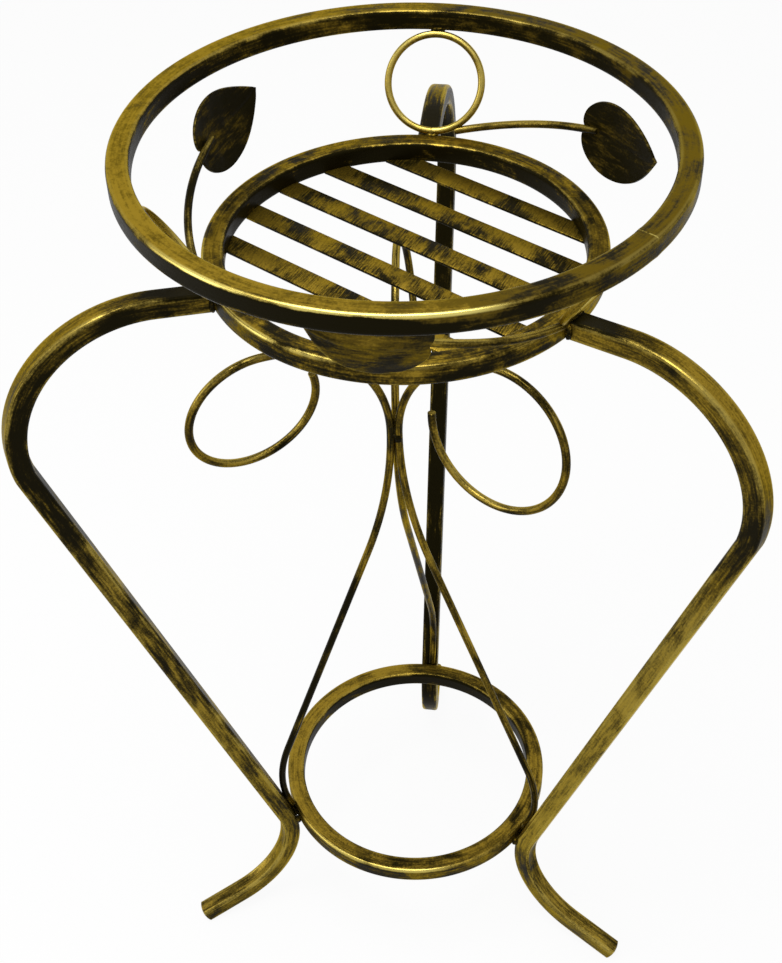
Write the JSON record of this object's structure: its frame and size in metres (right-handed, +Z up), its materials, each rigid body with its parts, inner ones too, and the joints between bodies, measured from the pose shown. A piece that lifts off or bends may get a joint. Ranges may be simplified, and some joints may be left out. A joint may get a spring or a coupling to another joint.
{
  "type": "plant stand",
  "caption": "Welded metal plant stand: top ring and slatted pot ring on bent tube legs tied by a bottom ring, with scroll rods meeting at a knot, hoops and leaves.",
  "frame": {"origin": "middle of the stand's box, on the floor; the rings' common axis stands 33 mm in front of it because only the rear leg reaches back, and 0.7 mm to the right of it", "axes": "+Z up; +X to the right and +Y to the back, the way the rear leg points"},
  "size_m": [0.3494, 0.3289, 0.5372],
  "materials": {
    "gold_over_black": "gold brushed over black, semi-gloss",
    "slat_paint": "gold brushed over black, short strokes across",
    "dark_leaf": "dark brown-black with a little gold",
    "weld": "black over weld metal, gold on the high spots"
  },
  "bodies": {
    "root": {"top_ring": "gold_over_black", "pot_ring": "gold_over_black", "bottom_ring": "gold_over_black", "slat_1": "slat_paint", "slat_2": "slat_paint", "slat_3": "slat_paint", "slat_4": "slat_paint", "slat_5": "slat_paint", "rear_leg": "gold_over_black", "left_leg": "gold_over_black", "right_leg": "gold_over_black", "rear_scroll": "gold_over_black", "left_scroll": "gold_over_black", "right_scroll": "gold_over_black", "rear_hoop": "gold_over_black", "left_hoop": "gold_over_black", "right_hoop": "gold_over_black", "rear_stem": "gold_over_black", "left_stem": "gold_over_black", "right_stem": "gold_over_black", "rear_leaf": "dark_leaf", "left_leaf": "dark_leaf", "right_leaf": "dark_leaf", "knot_weld": "weld", "leg_welds": "weld", "foot_welds": "weld", "hoop_welds": "weld"}
  },
  "joints": []
}
